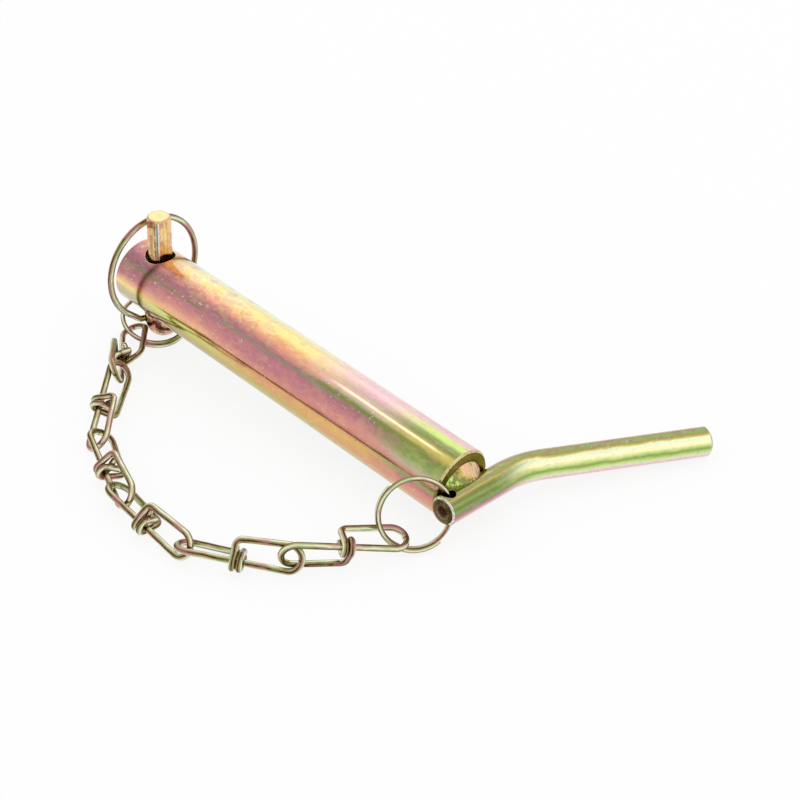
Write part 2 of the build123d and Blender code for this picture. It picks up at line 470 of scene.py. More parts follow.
# ---------------------------------------------------------------- finishes
@dataclass(frozen=True)
class BarFinish:
    """Plated round bar: bands along it of film colour with painted reflections and highlights, patches, fine
    lines, turned ends, scuffs and bores.

    Every Span is the noise, or the place, over which something comes in or goes.
    """

    name: str
    stations: tuple[Station, ...]
    streaks: tuple[Streak, ...] = ()
    ends: tuple[EndCut, ...] = ()
    bores: tuple[Bore, ...] = ()
    waver: float = 0.024  # turns that the bands waver round the bar
    wander: float = 0.012  # metres that they waver along it
    streak_waver: float = 0.006
    streak_core: float = 0.4  # share of a streak's width that shows in full
    streak_taper: float = 0.012
    patches: float = 0.04  # turns that the bands break up by where the film is patchy
    patchy_round: Span = (0.4, 0.46)
    patchy_along: Span = (-0.14, -0.04)
    flakes: Span = (0.4, 0.6)
    mottle: float = 0.3
    blemish: Film = Film.CERISE
    blemish_where: Span = (0.52, 0.62)
    blemish_least: float = 0.12
    bloom: Film = Film.STRAW
    bloom_where: Span = (0.38, 0.48)
    bloom_least: float = 0.1
    speckle: float = 0.14
    warm_specks: Span = (0.53, 0.62)
    dull_specks: Span = (0.38, 0.47)
    shine: float = 0.16
    shine_where: Span = (0.55, 0.8)
    grime: float = 0.2
    grime_where: Span = (0.2, 0.45)
    scuffs: float = 0.6
    scuff_dots: Span = (0.67, 0.71)
    scuff_places: Span = (0.47, 0.58)
    rim_wear: float = 0.7
    rim_worn: Span = (0.42, 0.66)
    rim_edge: Span = (1.1, 0.9)  # shares of the chamfer over which the rim comes in
    lathe_rings: float = 55.0  # radians of ring over the end's radius
    ring_waver: float = 0.5
    ring_shade: float = 0.3
    face_depth: float = 0.00006
    bore_edge: float = 1.03  # share of a hole's radius at which its wall ends
    corner: float = 0.01  # metres either side of a bend's corner that both of its runs share
    roughness: float = 0.17
    cloud_roughness: float = 0.1
    scuff_roughness: float = 0.3
    relief: float = 0.00003
    relief_strength: float = 0.35
    fine_depth: float = 0.6
    drawn: Grain = Grain(22.0, 160.0, 4.0)
    spotted: Grain = Grain(168.0, 240.0, 4.0)
    cloudy: Grain = Grain(85.0, 130.0, 6.0, 0.62)
    fine: Grain = Grain(300.0, 1500.0, 2.0)
    peppered: Grain = Grain(420.0, 1000.0, 4.0, 0.6)
    dotted: Grain = Grain(700.0, 900.0, 2.0, 0.5)
    rubbed: Grain = Grain(40.0, 60.0, 2.0)

    def material(self, radius: float, *runs: Run) -> bpy.types.Material:
        """Makes the finish.

        Args:
            radius: The bar's radius in metres.
            runs: The bar's straight runs in order.

        Returns:
            The material.
        """
        board = Board(bpy.data.materials.new(self.name))
        spot = self._spot(board, radius, runs)
        drawn = board.noise(spot.point, self.drawn) - 0.5
        cloudy = board.noise(spot.point, self.cloudy) - 0.5
        fine = board.noise(spot.point, self.fine)
        colour = self._film(board, spot, drawn, cloudy)
        for streak in self.streaks:
            colour = self._streak(board, streak, colour, spot.along, spot.around + drawn * self.streak_waver)
        colour = board.mix(fine.rise(*self.shine_where) * self.shine, colour, Film.SILVER)
        colour = board.mix(fine.fall(*self.grime_where) * self.grime, colour, Film.BROWN)
        dots = board.noise(spot.point, self.dotted).rise(*self.scuff_dots)
        places = board.noise(spot.point, self.rubbed).rise(*self.scuff_places)
        scuff = dots * places * self.scuffs
        colour = board.mix(scuff, colour, Film.SILVER)
        for cut in self.ends:
            colour = self._end(board, cut, colour, spot, fine)
        for bore in self.bores:
            colour = self._bore(board, bore, colour, spot.point)
        normal = board.bump(fine * self.fine_depth + scuff, self.relief, self.relief_strength)
        rough = cloudy * self.cloud_roughness + scuff * self.scuff_roughness
        return board.metal(colour, self.roughness + rough, normal)

    def _spot(self, board: Board, radius: float, runs: Sequence[Run]) -> BarSpot:
        """Finds where a point lies on a bar, past its corners too.

        Args:
            board: The material's board.
            radius: The bar's radius in metres.
            runs: The bar's straight runs in order.

        Returns:
            The point's place on the bar.
        """
        own = board.object_point()
        point = board.from_frame(own, runs[0].origin, runs[0].turn.to_euler())
        along, across, up = board.parts(point)
        for run in runs[1:]:
            ahead, beside, above = board.parts(board.from_frame(own, run.origin, run.turn.to_euler()))
            there = ahead.rise(-self.corner, self.corner)
            along = along + (ahead + run.along - along) * there
            across = across + (beside - across) * there
            up = up + (above - up) * there
        around = across.angle_to(up) / (2 * pi) + 0.5
        return BarSpot(point, along, around, (across * across + up * up) ** 0.5 / radius)

    def _film(self, board: Board, spot: BarSpot, drawn: Wire, cloudy: Wire) -> Wire:
        """Lays the bands of film colour, painted reflection and painted highlight, with their patches,
        mottles and specks.

        Args:
            board: The material's board.
            spot: The point's place on the bar.
            drawn: Noise in lines along the bar, round 0.
            cloudy: Noise in clouds, round 0.

        Returns:
            The film's colour.
        """
        patchy = spot.around.rise(*self.patchy_round) * spot.along.fall(*self.patchy_along)
        spots = board.noise(spot.point, self.spotted)
        broken = (spots.rise(*self.flakes) - 0.5) * patchy * self.patches
        wavy = drawn * self.waver + cloudy * (patchy * self.patches + self.waver)
        colour = self._bands(board, spot.around + wavy + broken, spot.along + cloudy * self.wander)
        blemished = spots.rise(*self.blemish_where) * (patchy * self.mottle + self.blemish_least)
        colour = board.mix(blemished, colour, self.blemish)
        bloomed = spots.fall(*self.bloom_where) * (patchy * self.mottle + self.bloom_least)
        colour = board.mix(bloomed, colour, self.bloom)
        specks = board.noise(spot.point, self.peppered)
        colour = board.mix(specks.rise(*self.warm_specks) * self.speckle, colour, Film.AMBER)
        return board.mix(specks.fall(*self.dull_specks) * self.speckle, colour, Film.PLUM)

    def _bands(self, board: Board, around: Wire, along: Wire) -> Wire:
        """Finds the band that a place is in.

        Args:
            board: The material's board.
            around: Place round the bar.
            along: Place along the bar.

        Returns:
            The band's colour.
        """
        colour = board.ramp(around, self.stations[0].bands)
        for before, station in zip(self.stations, self.stations[1:]):
            share = along.rise(before.along, station.along)
            colour = board.mix(share, colour, board.ramp(around, station.bands))
        return colour

    def _streak(self, board: Board, streak: Streak, colour: Wire, along: Wire, around: Wire) -> Wire:
        """Draws a fine line over a colour.

        Args:
            board: The material's board.
            streak: The line.
            colour: The colour underneath.
            along: Place along the bar.
            around: Place round the bar.

        Returns:
            The colour with the line on it.
        """
        away = abs(around - (along * streak.slope + streak.around))
        line = away.fall(streak.width * self.streak_core, streak.width)
        taper = self.streak_taper
        ends = along.rise(streak.start, streak.start + taper) * along.fall(streak.end - taper, streak.end)
        return board.mix(line * ends * streak.strength, colour, streak.film_and_painted_light)

    def _end(self, board: Board, cut: EndCut, colour: Wire, spot: BarSpot, fine: Wire) -> Wire:
        """Gives a turned end its rim and its rings.

        Args:
            board: The material's board.
            cut: The end.
            colour: The colour of the bar.
            spot: The point's place on the bar.
            fine: Fine noise.

        Returns:
            The colour with the end on it.
        """
        outward = (spot.along - cut.along) * cut.facing
        rings = board.ramp(spot.depth + (fine - 0.5) * self.ring_waver, cut.films)
        turned = (spot.depth * self.lathe_rings).wave()
        rings = board.mix(turned * self.ring_shade, rings, Film.BROWN)
        rim = board.mix(fine.rise(*self.rim_worn) * self.rim_wear, cut.rim, Film.OLIVE)
        behind, before = self.rim_edge
        colour = board.mix(outward.rise(-cut.chamfer * behind, -cut.chamfer * before), colour, rim)
        return board.mix(outward > -self.face_depth, colour, rings)

    def _bore(self, board: Board, bore: Bore, colour: Wire, point: Wire) -> Wire:
        """Paints the wall of a hole in one colour: a straw film in the pin's linch hole, painted shade in the
        handle's ring hole.

        Args:
            board: The material's board.
            bore: The hole.
            colour: The colour of the bar.
            point: The point in the first run's axes.

        Returns:
            The colour with the hole's wall on it.
        """
        turn = Vector(bore.axis).to_track_quat("Z", "Y").to_euler()
        x, y, _ = board.parts(board.from_frame(point, bore.middle, turn))
        inside = ((x * x + y * y) ** 0.5).fall(bore.radius, bore.radius * self.bore_edge)
        return board.mix(inside, colour, bore.film_and_painted_light)


@dataclass(frozen=True)
class WireFinish:
    """Plated wire: lines along it that waver, of film colour with painted dark reflection, painted shade and
    painted highlights among them, and rose and green tints at random.
    """

    name: str
    # The shade and brown stops are painted dark reflection and shade down the wire's sides; the sand and mint
    # stops are painted highlights.
    film_and_reflection_lines: Bands = (
        (0.0, Film.SHADE), (0.07, Film.BROWN), (0.16, Film.OLIVE), (0.3, Film.MAUVE), (0.44, Film.OLIVE),
        (0.58, Film.STONE), (0.7, Film.GREEN), (0.84, Film.SAND), (1.0, Film.MINT),
    )
    waves: float = 6 * pi  # radians of the lines round half the wire, film colour and painted light
    winding: float = 22.0  # radians a metre
    waver: float = 2.4
    tarnish: float = 0.45
    tarnish_where: Span = (0.5, 0.62)
    verdure: float = 0.3
    verdure_where: Span = (0.34, 0.46)
    roughness: float = 0.2
    roughening: float = 0.16
    relief: float = 0.00002
    relief_strength: float = 0.5
    cloudy: Grain = Grain(140.0, 140.0, 3.0)
    fine: Grain = Grain(1100.0, 1100.0, 3.0)
    tinted: Grain = Grain(90.0, 90.0, 2.0)

    def material(self) -> bpy.types.Material:
        """Makes the finish from the wire's own along and around attributes.

        Returns:
            The material.
        """
        board = Board(bpy.data.materials.new(self.name))
        point = board.object_point()
        wound = board.attribute("around") * self.waves
        cloudy = (board.noise(point, self.cloudy) - 0.5) * self.waver
        fine = board.noise(point, self.fine)
        rough = (fine - 0.5) * self.roughening
        line = (wound + cloudy + board.attribute("along") * self.winding).wave()
        colour = board.ramp(line + rough, self.film_and_reflection_lines)
        tint = board.noise(point, self.tinted)
        colour = board.mix(tint.rise(*self.tarnish_where) * self.tarnish, colour, Film.ROSE)
        colour = board.mix(tint.fall(*self.verdure_where) * self.verdure, colour, Film.GREEN)
        normal = board.bump(fine, self.relief, self.relief_strength)
        return board.metal(colour, self.roughness + rough, normal)


@dataclass(frozen=True)
class WeldFinish:
    """Weld metal under the plating: ripples, scale at its toe and a peach crown."""

    name: str
    films: Bands = (
        (0.0, Film.BROWN), (0.12, Film.OLIVE), (0.24, Film.LEAF), (0.32, Film.MOSS), (0.42, Film.OLIVE),
        (0.52, Film.GOLD), (0.62, Film.PEACH), (0.8, Film.SAND), (0.9, Film.PEACH), (1.0, Film.OLIVE),
    )
    pitch: float = 3800.0  # radians of ripple a metre
    pitch_waver: float = 0.0022
    lean: float = 0.4  # how far a ripple leans out of the end face
    reach: float = 0.02
    crown: float = 0.009  # from the end face's middle up to the crown
    crown_share: float = 0.25
    middle: float = 0.4  # place in the films at the bead's middle
    waver: float = 0.9
    scale: float = 0.55
    scale_where: Span = (0.36, 0.44)
    roughness: float = 0.24
    roughening: float = 0.2
    relief: float = 0.0004
    relief_strength: float = 0.7
    ripple_depth: float = 0.3
    cloud_depth: float = 1.2
    fine_depth: float = 0.3
    cloudy: Grain = Grain(300.0, 300.0, 5.0, 0.6)
    fine: Grain = Grain(1300.0, 1300.0, 3.0)

    def material(self, place: Run) -> bpy.types.Material:
        """Makes the finish.

        Args:
            place: The end face's middle and axes, with X out of it and Y across it.

        Returns:
            The material.
        """
        board = Board(bpy.data.materials.new(self.name))
        point = board.from_frame(board.object_point(), place.origin, place.turn.to_euler())
        out, along, up = board.parts(point)
        cloud = board.noise(point, self.cloudy)
        fine = board.noise(point, self.fine)
        side = along / self.reach + (cloud - 0.5) * self.waver
        raised = up / self.crown * self.crown_share + self.middle
        colour = board.ramp(side + raised, self.films)
        colour = board.mix(cloud.fall(*self.scale_where) * self.scale, colour, Film.BROWN)
        ripple = ((along + (cloud - 0.5) * self.pitch_waver + out * self.lean) * self.pitch).wave()
        depth = ripple * self.ripple_depth + cloud * self.cloud_depth + fine * self.fine_depth
        normal = board.bump(depth, self.relief, self.relief_strength)
        return board.metal(colour, self.roughness + (fine - 0.5) * self.roughening, normal)


# ---------------------------------------------------------------- places
class Lie:
    """How the set lies: the frame of the hitch pin and the origin that its sizes count from."""

    def __init__(self) -> None:
        """Reads the pin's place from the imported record's mount."""
        mount = next(m for m in frame["record"]["mounts"] if m["name"] == "shank")
        ahead = -Vector(mount["axis"]).normalized()
        self.end_face = Vector(mount["pos_m"]) + ahead * SHANK_MIDDLE * MM
        side = Vector((0, 0, 1)).cross(ahead).normalized()
        self.pin_axes = Matrix((ahead, side, ahead.cross(side))).transposed()
        drop = PIN_RADIUS * MM * sqrt(1 - ahead.z**2)
        self.floor_point = self.end_face - Vector((0, 0, drop))

    def on_pin(self, x: float, y: float, z: float) -> Vector:
        """The point at x, y and z millimetres in the pin's own frame, with X out of its end face."""
        return self.end_face + self.pin_axes @ Vector((x, y, z)) * MM

    def on_floor(self, x: float, y: float, z: float) -> Vector:
        """The point x, y and z millimetres from the floor below the pin's end face."""
        return self.floor_point + Vector((x, y, z)) * MM


# ---------------------------------------------------------------- geometry nodes
class WireTree(Tree):
    """A Geometry Nodes tree that makes a piece of round wire."""

    END_SHARE = 0.72  # of the wire's radius, at its cut ends

    def __init__(self, name: str) -> None:
        """Starts a tree with the inputs that every wire has.

        Args:
            name: The tree's name.
        """
        super().__init__(bpy.data.node_groups.new(name, "GeometryNodeTree"))
        self.tree.interface.new_socket("Geometry", in_out="OUTPUT", socket_type="NodeSocketGeometry")
        self.inputs: dict[str, Wire] = {}
        self.input("Geometry", "NodeSocketGeometry")
        self.input("Wire", "NodeSocketFloat", 0.0025)
        self.input("Sides", "NodeSocketInt", 20)
        self.input("Break", "NodeSocketFloat", 0.0004)
        self.input("Place", "NodeSocketVector")
        self.input("Turn", "NodeSocketRotation")
        self.input("Finish", "NodeSocketMaterial")

    def input(self, name: str, kind: str, default: Optional[Number] = None) -> None:
        """Adds a named input.

        Args:
            name: Its name.
            kind: Its socket's type.
            default: Its value where none is given.
        """
        made = self.tree.interface.new_socket(name, in_out="INPUT", socket_type=kind)
        if default is not None:
            made.default_value = default

    def given(self, name: str) -> Wire:
        """Reads an input.

        Args:
            name: Its name. No input is added after the first is read.

        Returns:
            The wire that carries its value.
        """
        if not self.inputs:
            self.inputs = {wire.socket.name: wire for wire in self.node("NodeGroupInput")}
        return self.inputs[name]

    def store(self, geometry: Wire, name: str, value: Wire) -> Wire:
        """Keeps a value as an attribute.

        Args:
            geometry: What it is kept on.
            name: The attribute's name.
            value: The value at each point.

        Returns:
            The geometry with the attribute.
        """
        settings = {"data_type": "FLOAT", "domain": "POINT"}
        values = {"Geometry": geometry, "Name": name, "Value": value}
        return self.node("GeometryNodeStoreNamedAttribute", settings, values)[0]

    def sweep(self, curve: Wire) -> bpy.types.NodeTree:
        """Sweeps the wire's round section, with slightly broken ends, and puts it out in its place.

        Args:
            curve: The wire's centre line.

        Returns:
            The finished tree.
        """
        length = self.node("GeometryNodeSplineLength")[0]
        share, travelled, _ = self.node("GeometryNodeSplineParameter")
        to_end = travelled.least(length - travelled)
        broken = to_end.glide(0.0, self.given("Break"), self.END_SHARE, 1.0, Easing.SMOOTHER)
        radius = self.given("Wire") * 0.5 * broken
        values = {"Resolution": self.given("Sides"), "Radius": 1.0}
        section = self.node("GeometryNodeCurvePrimitiveCircle", {"mode": "RADIUS"}, values)[0]
        values = {
            "Curve": self.store(curve, "along", travelled),
            "Profile Curve": self.store(section, "around", abs(share - 0.5)),
            "Scale": radius,
            "Fill Caps": True,
        }
        mesh = self.node("GeometryNodeCurveToMesh", values=values)[0]
        smooth = self.node("GeometryNodeSetShadeSmooth", values={"Geometry": mesh})[0]
        values = {"Geometry": smooth, "Translation": self.given("Place"), "Rotation": self.given("Turn")}
        placed = self.node("GeometryNodeTransform", values=values)[0]
        whole = self.node("GeometryNodeRealizeInstances", values={"Geometry": placed})[0]
        values = {"Geometry": whole, "Material": self.given("Finish")}
        dressed = self.node("GeometryNodeSetMaterial", values=values)[0]
        self.node("NodeGroupOutput", values={0: dressed})
        return self.tree


class WireBench:
    """Bends round wire along a path, and winds split rings, with two Geometry Nodes trees."""

    END_STEPS = (0.0, 0.15, 0.4)  # millimetres from a wire's end to its first points

    def __init__(self) -> None:
        """Builds both trees."""
        self.bend_tree = self._bend_tree()
        self.coil_tree = self._coil_tree()

    @staticmethod
    def _bend_tree() -> bpy.types.NodeTree:
        """Builds the tree that rounds the corners of a path and sweeps wire along it.

        Returns:
            The tree.
        """
        tree = WireTree("bend_wire")
        tree.input("Bend Steps", "NodeSocketInt", 10)
        bend = tree.node("GeometryNodeInputNamedAttribute", {"data_type": "FLOAT"}, {"Name": "bend"})[0]
        path = tree.node("GeometryNodeMeshToCurve", values={0: tree.given("Geometry")})[0]
        values = {"Curve": path, "Radius": bend, "Count": tree.given("Bend Steps")}
        return tree.sweep(tree.node("GeometryNodeFilletCurve", {"mode": "POLY"}, values)[0])

    @staticmethod
    def _coil_tree() -> bpy.types.NodeTree:
        """Builds the tree that winds wire past a full turn and changes level once on the way.

        Returns:
            The tree.
        """
        tree = WireTree("wind_ring")
        tree.input("Points", "NodeSocketInt", 320)
        for name in ("Radius", "Level", "Turns", "Start", "Crossing"):
            tree.input(name, "NodeSocketFloat")
        values = {"Curve": tree.node("GeometryNodeCurvePrimitiveLine")[0], "Count": tree.given("Points")}
        line = tree.node("GeometryNodeResampleCurve", values=values)[0]
        swept = (tree.node("GeometryNodeSplineParameter")[0] - 0.5) * tree.given("Turns")
        angle = tree.given("Start") + swept
        half = tree.given("Crossing") * 0.5
        level = swept.glide(half * -1.0, half, -1.0, 1.0)
        x, y = angle.cosine() * tree.given("Radius"), angle.sine() * tree.given("Radius")
        spot = tree.node("ShaderNodeCombineXYZ", values={0: x, 1: y, 2: level * tree.given("Level")})[0]
        values = {"Geometry": line, "Position": spot}
        return tree.sweep(tree.node("GeometryNodeSetPosition", values=values)[0])

    @staticmethod
    def _make(
        name: str, mesh: bpy.types.Mesh, tree: bpy.types.NodeTree, inputs: dict, material: bpy.types.Material
    ) -> bpy.types.Object:
        """Runs a tree on a mesh and keeps the result as a plain mesh.

        Args:
            name: The finished piece's name.
            mesh: What the tree starts from.
            tree: The Geometry Nodes tree.
            inputs: Value of each named input.
            material: The piece's material.

        Returns:
            The finished piece.
        """
        source = bpy.data.objects.new(name + "_source", mesh)
        bpy.context.scene.collection.objects.link(source)
        modifier = source.modifiers.new("nodes", "NODES")
        modifier.node_group = tree
        sockets = {item.name: item.identifier for item in tree.interface.items_tree if item.in_out == "INPUT"}
        for key, value in {**inputs, "Finish": material}.items():
            modifier[sockets[key]] = value
        graph = bpy.context.evaluated_depsgraph_get()
        evaluated = source.evaluated_get(graph)
        made = bpy.data.meshes.new_from_object(evaluated, preserve_all_data_layers=True, depsgraph=graph)
        made.name = name
        piece = bpy.data.objects.new(name, made)
        bpy.context.scene.collection.objects.link(piece)
        source.modifiers.remove(modifier)
        bpy.data.objects.remove(source)
        return piece

    def bend(
        self,
        name: str,
        points: Sequence[Vector],
        bends: Sequence[float],
        wire: float,
        place: Matrix,
        material: bpy.types.Material,
    ) -> bpy.types.Object:
        """Bends a wire.

        Args:
            name: The piece's name.
            points: Corners of its centre line, in millimetres.
            bends: Bend radius at each inner corner, in millimetres.
            wire: The wire's diameter in millimetres.
            place: Where the finished wire goes.
            material: Its material.

        Returns:
            The finished piece.
        """
        first = (points[1] - points[0]).normalized()
        last = (points[-2] - points[-1]).normalized()
        heads = [points[0] + first * step for step in self.END_STEPS]
        tails = [points[-1] + last * step for step in reversed(self.END_STEPS)]
        route = [*heads, *points[1:-1], *tails]
        straight = [0.0] * len(self.END_STEPS)
        mesh = bpy.data.meshes.new(name + "_path")
        mesh.from_pydata([p * MM for p in route], [(i, i + 1) for i in range(len(route) - 1)], [])
        attribute = mesh.attributes.new("bend", "FLOAT", "POINT")
        attribute.data.foreach_set("value", [bend * MM for bend in (*straight, *bends, *straight)])
        inputs = {"Wire": wire * MM, "Place": place.translation, "Turn": place.to_euler()}
        return self._make(name, mesh, self.bend_tree, inputs, material)

    def coil(
        self,
        name: str,
        wire: float,
        radius: float,
        level: float,
        turn: float,
        start: float,
        crossing: float,
        place: Matrix,
        material: bpy.types.Material,
    ) -> bpy.types.Object:
        """Winds a split ring.

        Args:
            name: The piece's name.
            wire: The wire's diameter in millimetres.
            radius: Its centre line's radius in millimetres.
            level: Height of each level from the middle, in millimetres.
            turn: Degrees of wire in all.
            start: Where the crossing lies, in degrees.
            crossing: Degrees over which the wire changes level.
            place: Where the ring goes; Z is its axis.
            material: Its material.

        Returns:
            The finished piece.
        """
        mesh = bpy.data.meshes.new(name + "_path")
        mesh.from_pydata([(0, 0, 0)], [], [])
        inputs = {
            "Wire": wire * MM,
            "Radius": radius * MM,
            "Level": level * MM,
            "Turns": radians(turn),
            "Start": radians(start),
            "Crossing": radians(crossing),
            "Place": place.translation,
            "Turn": place.to_euler(),
        }
        return self._make(name, mesh, self.coil_tree, inputs, material)


# ---------------------------------------------------------------- the pieces
def dress(node: str, material: bpy.types.Material) -> None:
    """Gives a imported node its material.

    Args:
        node: The node's name.
        material: The finish that replaces its own.
    """
    piece = frame["nodes"][node]
    if not piece.material_slots:
        piece.data.materials.append(material)
    for slot in piece.material_slots:
        slot.material = material
    log.info("%s dressed with %s", node, material.name)


def stand_for(piece: bpy.types.Object, node: str, body: str) -> None:
    """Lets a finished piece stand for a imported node.

    Args:
        piece: The piece, with its place in its mesh.
        node: The node that it stands for.
        body: The body that it moves with.
    """
    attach(piece, body)
    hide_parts(node)
    log.info("%s made with %d faces", piece.name, len(piece.data.polygons))


@dataclass
class HitchPin:
    """The round pin, its bent handle and the welds between them.

    Sizes are in millimetres and turns in degrees.
    """

    lie: Lie
    length: float = 182.0
    chamfer: float = 0.8
    linch_hole: float = 6.2
    bar_radius: float = 5.75
    bar_out: float = 5.8
    bar_drop: float = 1.0
    bar_turn: float = 5.5
    bar_short: float = 15.97
    bar_straight: float = 17.06
    bend_radius: float = 36.3
    bend: float = 29.3
    bend_lean: float = 6.9
    grip: float = 66.7
    short_chamfer: float = 0.7
    grip_chamfer: float = 1.0
    ring_hole_in: float = 3.8
    ring_hole_turn: float = -14.0
    ring_hole: float = 2.65

    def bar_axes(self) -> tuple[Vector, Vector, Vector]:
        """Finds how the handle's short side lies.

        Returns:
            Its direction, its upward direction and its middle, in the pin's frame.
        """
        fall = radians(self.bar_turn)
        along = Vector((0, cos(fall), -sin(fall)))
        return along, Vector((0, sin(fall), cos(fall))), Vector((self.bar_out, 0, -self.bar_drop))

    def ring_hole_place(self) -> tuple[Vector, Vector]:
        """Finds the hole for the split ring.

        Returns:
            Its middle and its axis, in the pin's frame.
        """
        along, up, middle = self.bar_axes()
        turn = radians(self.ring_hole_turn)
        hole = middle - along * (self.bar_short - self.ring_hole_in)
        return hole, up * cos(turn) + along.cross(up) * sin(turn)

    def pin_finish(self) -> BarFinish:
        """Sets out the colours of the pin: film colours with painted reflections and painted highlights.

        Returns:
            Its finish, from its tip to its handle end.
        """
        # Around 0.5 is the bar's top. The pale straw, cream and mint bands from 0.49 to 0.63 on the shoulder
        # and middle stations are a painted highlight; the other bands are film colour with painted reflection
        # in it.
        tip = (
            (0.0, Film.OLIVE), (0.14, Film.MINT), (0.2, Film.STONE), (0.25, Film.SAND), (0.27, Film.STRAW),
            (0.29, Film.PEACH), (0.315, Film.ROSE), (0.35, Film.MAUVE), (0.4, Film.PLUM),
            (0.45, Film.MAUVE), (0.48, Film.ROSE), (0.51, Film.CORAL), (0.57, Film.AMBER),
            (0.62, Film.MINT), (0.7, Film.BLUSH), (0.8, Film.GREEN), (0.9, Film.GOLD), (1.0, Film.OLIVE),
        )
        shoulder = (
            (0.0, Film.OLIVE), (0.13, Film.STONE), (0.18, Film.OLIVE), (0.22, Film.GOLD),
            (0.255, Film.LEAF), (0.275, Film.HONEY), (0.295, Film.PEACH), (0.325, Film.CORAL),
            (0.36, Film.ROSE), (0.41, Film.MAUVE), (0.445, Film.CORAL), (0.47, Film.PEACH),
            (0.5, Film.STRAW), (0.54, Film.CREAM), (0.6, Film.MINT), (0.7, Film.STRAW), (0.82, Film.PINK),
            (0.92, Film.GOLD), (1.0, Film.OLIVE),
        )
        middle = (
            (0.0, Film.OLIVE), (0.13, Film.STONE), (0.18, Film.GOLD), (0.22, Film.GOLD), (0.25, Film.AMBER),
            (0.28, Film.AMBER), (0.3, Film.CORAL), (0.335, Film.ROSE), (0.37, Film.ROSE), (0.4, Film.MAUVE),
            (0.425, Film.CORAL), (0.46, Film.AMBER), (0.49, Film.STRAW), (0.54, Film.STRAW),
            (0.58, Film.CREAM), (0.63, Film.MINT), (0.74, Film.PEACH), (0.86, Film.ROSE), (1.0, Film.OLIVE),
        )
        quarter = (
            (0.0, Film.OLIVE), (0.13, Film.OLIVE), (0.18, Film.GOLD), (0.23, Film.AMBER),
            (0.27, Film.HONEY), (0.3, Film.CORAL), (0.335, Film.CORAL), (0.365, Film.ROSE),
            (0.39, Film.MAUVE), (0.41, Film.MOSS), (0.43, Film.STONE), (0.45, Film.PINK),
            (0.475, Film.STONE), (0.5, Film.PINK), (0.52, Film.BLUSH), (0.58, Film.BLUSH),
            (0.64, Film.PEACH), (0.76, Film.LEAF), (0.88, Film.PINK), (1.0, Film.OLIVE),
        )
        head = (
            (0.0, Film.OLIVE), (0.13, Film.BROWN), (0.18, Film.AMBER), (0.24, Film.CORAL),
            (0.265, Film.ROSE), (0.285, Film.GREEN), (0.31, Film.CORAL), (0.33, Film.STONE),
            (0.36, Film.GREEN), (0.405, Film.MOSS), (0.43, Film.GOLD), (0.45, Film.GOLD), (0.47, Film.MOSS),
            (0.495, Film.GREEN), (0.51, Film.LEAF), (0.53, Film.LEAF), (0.56, Film.BLUSH),
            (0.64, Film.CORAL), (0.76, Film.GREEN), (0.88, Film.PINK), (1.0, Film.OLIVE),
        )
        # The two brown streaks join into one painted reflection of the horizon along the pin; the cream
        # streak near the handle end is a painted highlight.
        streaks = (
            Streak(Film.BROWN, 0.3015, 0.14, 0.0042, -0.125, -0.012, 0.75),
            Streak(Film.BROWN, 0.338, 0.45, 0.005, -0.16, -0.113, 0.8),
            Streak(Film.SLATE, 0.405, 0.14, 0.009, -0.13, -0.05, 0.75),
            Streak(Film.MOSS, 0.41, 0.2, 0.008, -0.182, -0.125, 0.7),
            Streak(Film.MOSS, 0.415, 0.08, 0.012, -0.075, -0.006, 0.7),
            Streak(Film.CREAM, 0.446, -0.06, 0.0085, -0.066, -0.002, 0.9),
        )
        face = (
            (0.0, Film.OLIVE), (0.3, Film.MOSS), (0.45, Film.OLIVE), (0.6, Film.BROWN), (0.75, Film.OLIVE),
            (0.88, Film.GOLD), (1.0, Film.BROWN),
        )
        ends = (
            EndCut(0.0, 1.0, self.chamfer * MM, Film.SAND, face),
            EndCut(-self.length * MM, -1.0, self.chamfer * MM, Film.SAND, face),
        )
        bore = Bore((LINCH_AT * MM, 0, 0), (0, 0, 1), self.linch_hole * MM)
        stations = (
            Station(-0.176, tip),
            Station(-0.145, shoulder),
            Station(-0.088, middle),
            Station(-0.046, quarter),
            Station(-0.014, head),
        )
        return BarFinish("pin_plating_and_painted_light", stations, streaks, ends, (bore,))

    def handle_finish(self) -> BarFinish:
        """Sets out the colours of the handle: film colours with painted highlights, and painted shade in its
        ring hole.

        Returns:
            Its finish, from its short end to its grip.
        """
        # The thin gold line at 0.44 on the short side and the cream and mint bands from 0.345 to 0.42 on the
        # grip are painted highlights.
        short = (
            (0.0, Film.OLIVE), (0.15, Film.STONE), (0.19, Film.PINK), (0.25, Film.ROSE),
            (0.275, Film.SLATE), (0.3, Film.GREEN), (0.34, Film.MOSS), (0.37, Film.GREEN), (0.4, Film.MOSS),
            (0.42, Film.OLIVE), (0.44, Film.GOLD), (0.455, Film.OLIVE), (0.5, Film.GREEN),
            (0.53, Film.GOLD), (0.56, Film.MOSS), (0.65, Film.OLIVE), (0.75, Film.GOLD), (0.88, Film.GREEN),
            (1.0, Film.OLIVE),
        )
        grip = (
            (0.0, Film.OLIVE), (0.15, Film.PINK), (0.19, Film.BLUSH), (0.22, Film.MINT), (0.25, Film.LEAF),
            (0.29, Film.GREEN), (0.32, Film.LEAF), (0.345, Film.CREAM), (0.37, Film.CREAM),
            (0.395, Film.MINT), (0.42, Film.CREAM), (0.435, Film.GOLD), (0.455, Film.OLIVE),
            (0.49, Film.GREEN), (0.54, Film.OLIVE), (0.57, Film.GOLD), (0.61, Film.PINK), (0.66, Film.MINT),
            (0.78, Film.GREEN), (0.9, Film.PINK), (1.0, Film.OLIVE),
        )
        face = (
            (0.0, Film.BROWN), (0.2, Film.SHADE), (0.35, Film.BROWN), (0.5, Film.SLATE), (0.62, Film.BROWN),
            (0.75, Film.MOSS), (0.86, Film.BROWN), (1.0, Film.MAUVE),
        )
        far_end = self.bar_straight + 2 * self.bend_radius * tan(radians(self.bend / 2)) + self.grip
